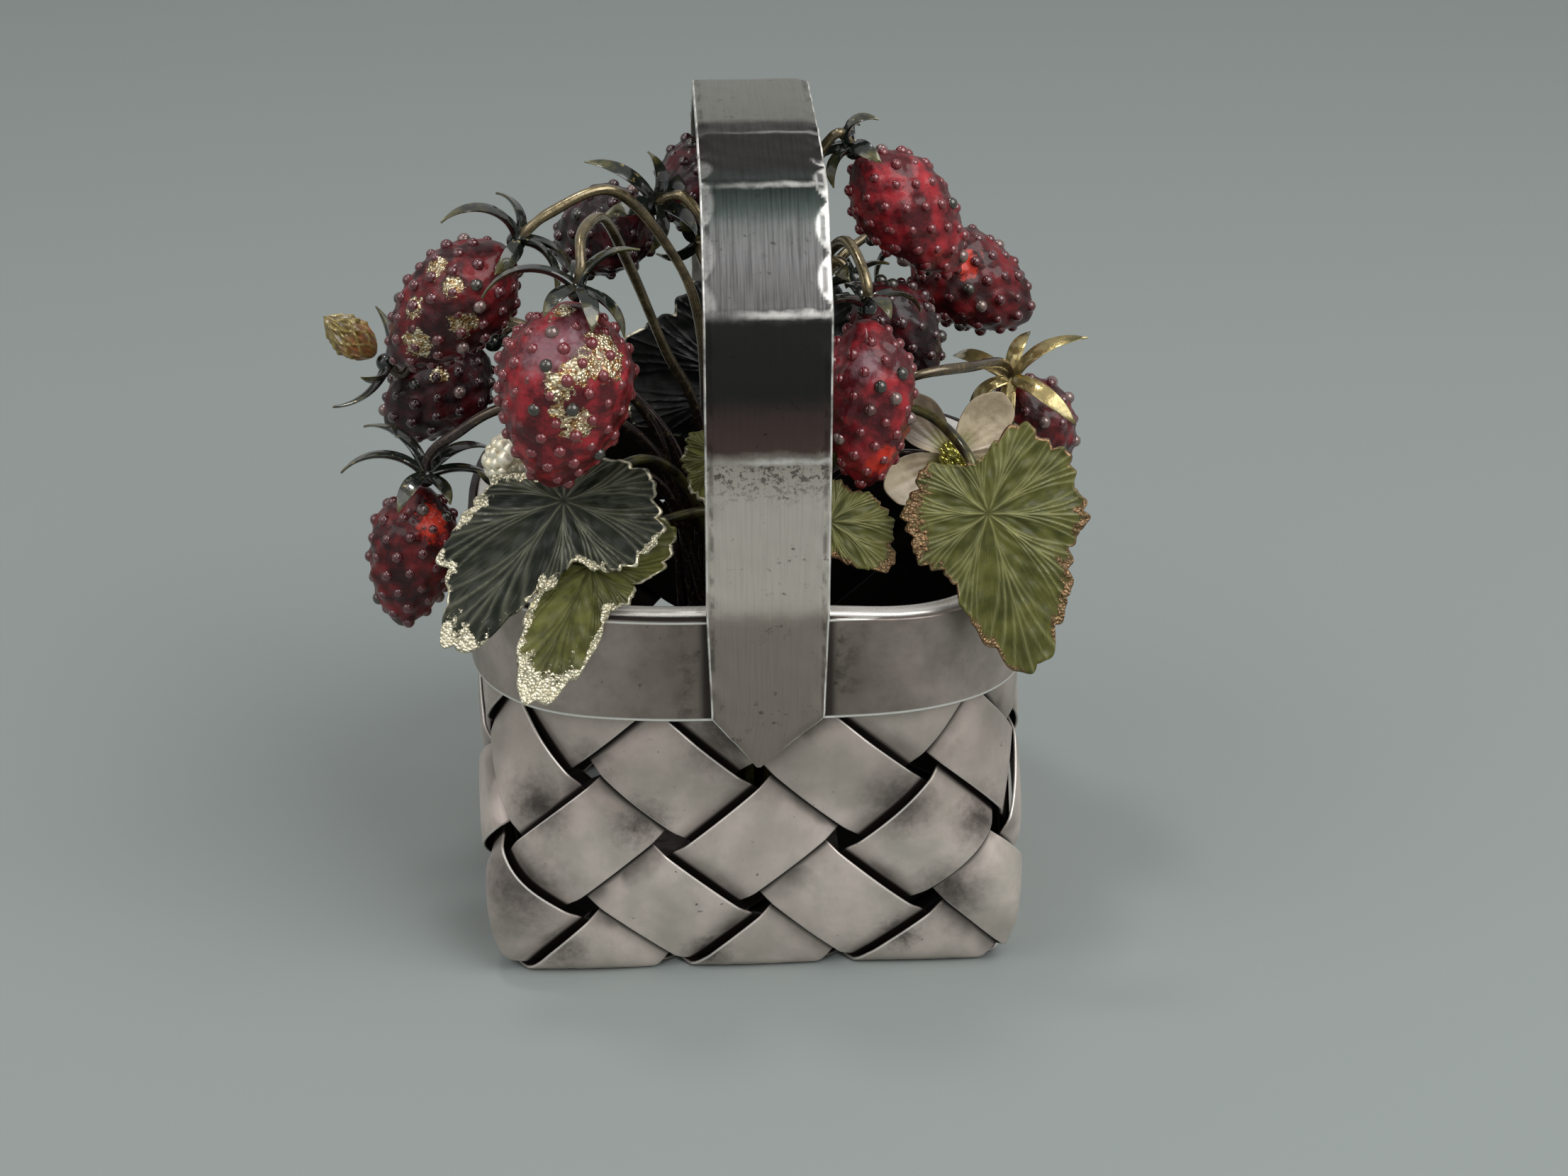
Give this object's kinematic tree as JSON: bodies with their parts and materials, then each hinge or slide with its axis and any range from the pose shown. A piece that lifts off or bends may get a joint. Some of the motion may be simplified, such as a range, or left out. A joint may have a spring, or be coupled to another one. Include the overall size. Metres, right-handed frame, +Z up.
{
  "type": "small silver basket of strawberries",
  "caption": "Square basket plaited from flat silver strips on the bias, with a banded rim and a fixed strap handle, holding a spray of enamelled strawberries on wire stems.",
  "frame": {"origin": "middle of the footprint of the whole object, on the surface it stands on", "axes": "+Z up, -Y out of the front face with the handle's pointed end, +X to the right seen from the front"},
  "size_m": [0.1124, 0.0926, 0.1203],
  "materials": {
    "silver": "satin brushed silver, darkened in the recesses",
    "dark_silver": "oxidised silver",
    "crimson_enamel": "gloss translucent crimson enamel on silver",
    "dark_crimson_enamel": "gloss dark crimson enamel on silver",
    "gilt_wire": "worn dark gilding",
    "dark_green_enamel": "dark green enamel with gilt edges",
    "olive_enamel": "olive enamel with gilt edges",
    "fresh_green_enamel": "green enamel with gilt edges",
    "cream_enamel": "satin cream enamel",
    "gold": "grained gold",
    "yellow_enamel": "ochre enamel over a net of wire"
  },
  "bodies": {
    "root": {"plait_strip_1": "silver", "plait_strip_2": "silver", "plait_strip_3": "silver", "plait_strip_4": "silver", "plait_strip_5": "silver", "plait_strip_6": "silver", "plait_strip_7": "silver", "plait_strip_8": "silver", "plait_strip_9": "silver", "plait_strip_10": "silver", "plait_strip_11": "silver", "plait_strip_12": "silver", "outer_rim_band": "silver", "inner_rim_band": "silver", "strap_handle": "silver", "stem_plate": "dark_silver", "berry_left_high": "crimson_enamel", "berry_front_left": "crimson_enamel", "berry_left_low": "crimson_enamel", "berry_right_top": "crimson_enamel", "berry_right_high": "crimson_enamel", "berry_front_right": "crimson_enamel", "berry_left_middle": "dark_crimson_enamel", "berry_back_top": "dark_crimson_enamel", "berry_behind_arch": "dark_crimson_enamel", "berry_right_low": "dark_crimson_enamel", "berry_right_inner": "dark_crimson_enamel", "stem_left_high": "gilt_wire", "stem_front_left": "gilt_wire", "stem_left_middle": "gilt_wire", "stem_left_low": "gilt_wire", "stem_back_top": "gilt_wire", "stem_behind_arch": "gilt_wire", "stem_right_top": "gilt_wire", "stem_right_high": "gilt_wire", "stem_front_right": "gilt_wire", "stem_right_low": "gilt_wire", "stem_right_inner": "gilt_wire", "stem_blossom": "gilt_wire", "stem_bud_yellow": "gilt_wire", "stem_bud_gold": "gilt_wire", "leaf_dark_left": "dark_green_enamel", "leaf_dark_back": "dark_green_enamel", "leaf_olive_left": "olive_enamel", "leaf_small_middle": "olive_enamel", "leaf_green_right": "fresh_green_enamel", "leaf_small_right": "fresh_green_enamel", "blossom_petals": "cream_enamel", "blossom_centre": "gold", "bud_gold": "gold", "bud_yellow": "yellow_enamel"}
  },
  "joints": []
}
